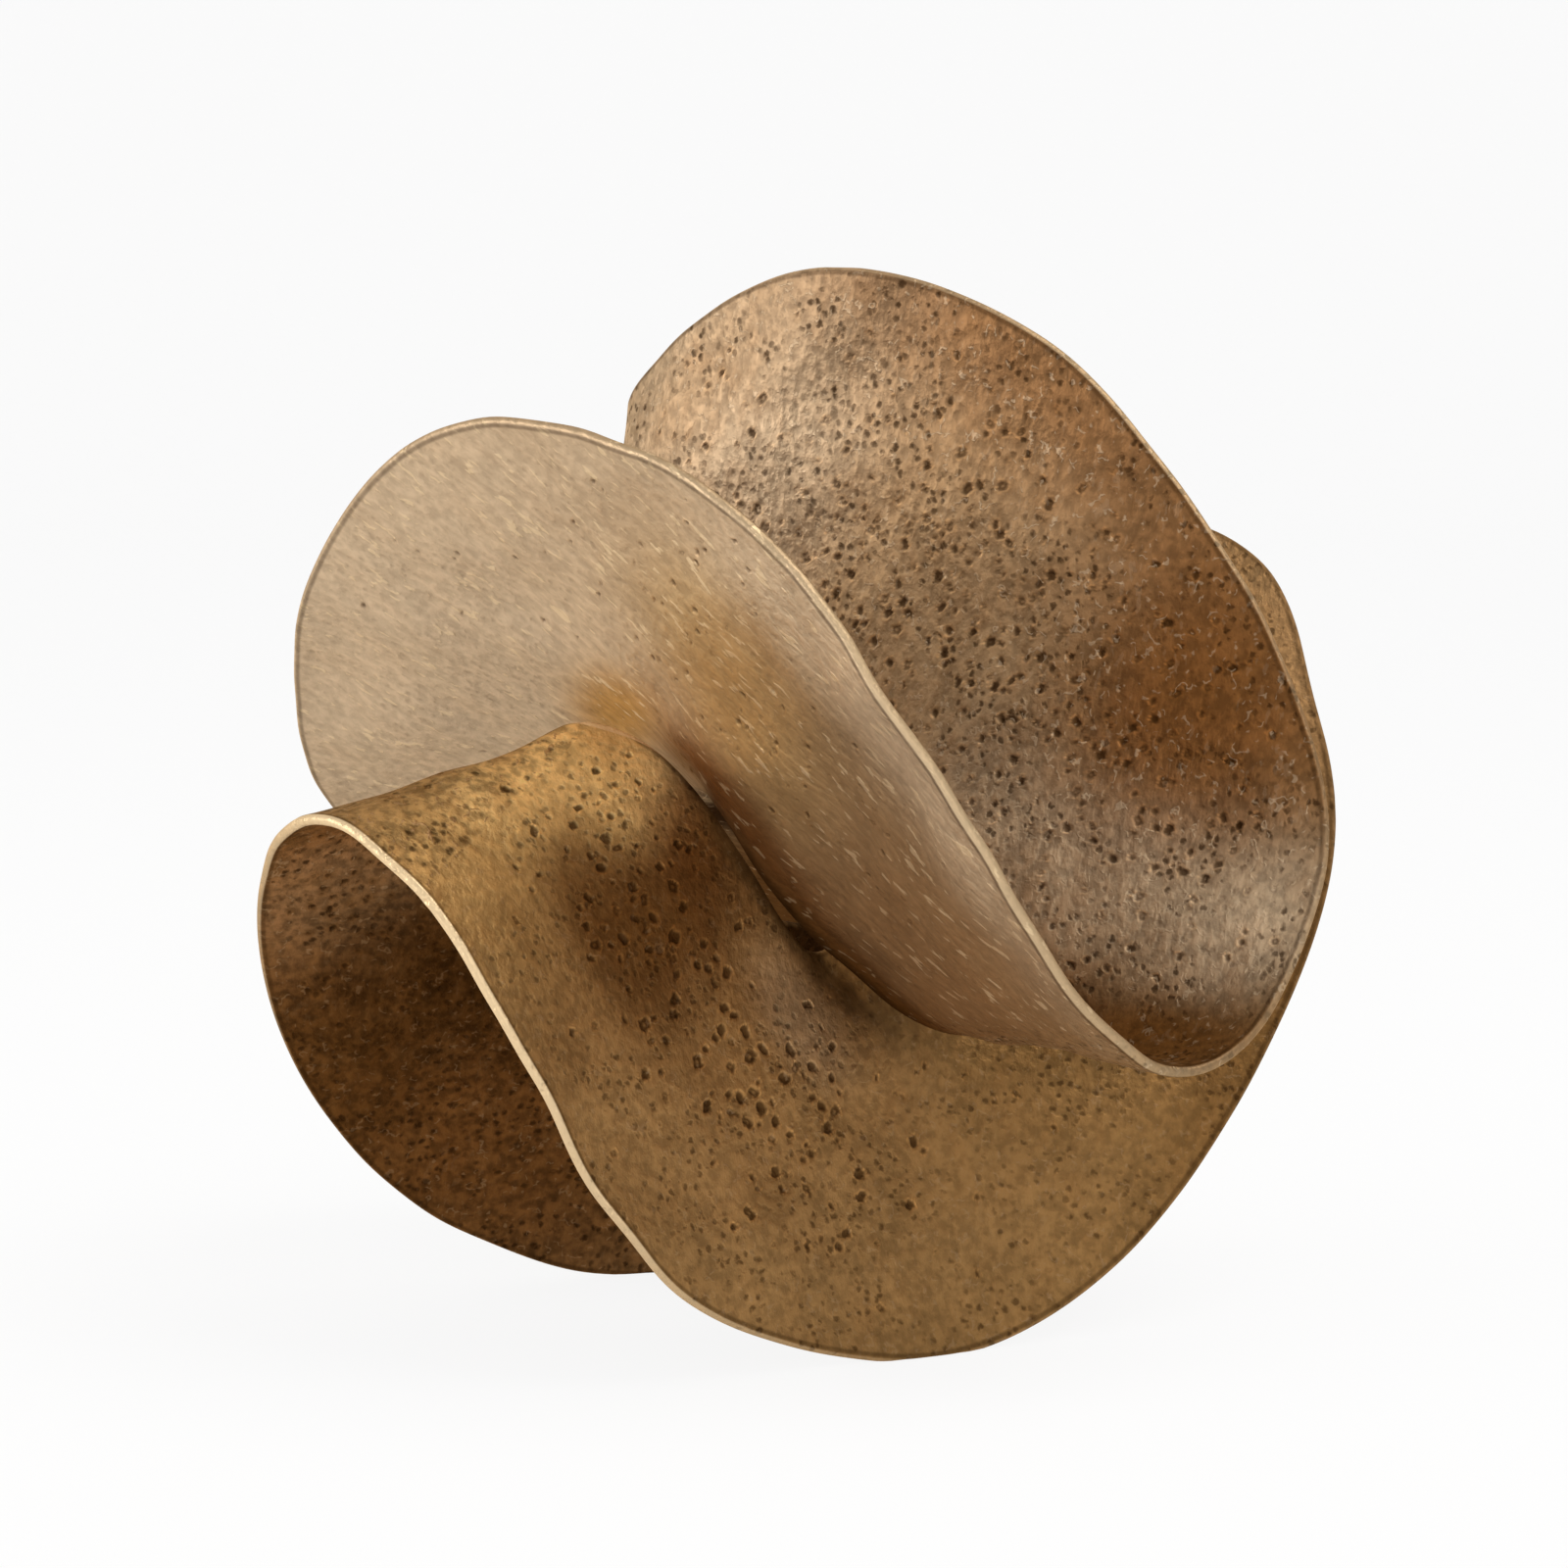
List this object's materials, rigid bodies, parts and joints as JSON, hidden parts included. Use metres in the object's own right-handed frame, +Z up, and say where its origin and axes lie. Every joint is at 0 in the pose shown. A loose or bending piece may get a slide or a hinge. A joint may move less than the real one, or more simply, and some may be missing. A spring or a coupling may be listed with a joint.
{
  "type": "whorl sculpture",
  "caption": "Free-standing ornament: a wide metal ribbon closed on itself in rounded lobes that whorl round a narrow slit, with pitted antique faces and bright edges.",
  "frame": {"origin": "middle of the bounding box in plan, on the plane of the two ground flats that it rests on", "axes": "+Z up, -Y towards the viewer of the picture, +X to that viewer's right"},
  "size_m": [0.3002, 0.2726, 0.2914],
  "materials": {
    "lobe_metal": "cast, pitted, antique patina, satin",
    "weld_metal": "ground flush, satin"
  },
  "bodies": {
    "root": {"upper_left_lobe": "lobe_metal", "upper_right_lobe": "lobe_metal", "front_lobe": "lobe_metal", "lower_left_lobe": "lobe_metal", "right_fold_weld": "weld_metal", "rear_left_fold_weld": "weld_metal", "left_fold_weld": "weld_metal", "rear_right_fold_weld": "weld_metal"}
  },
  "joints": []
}
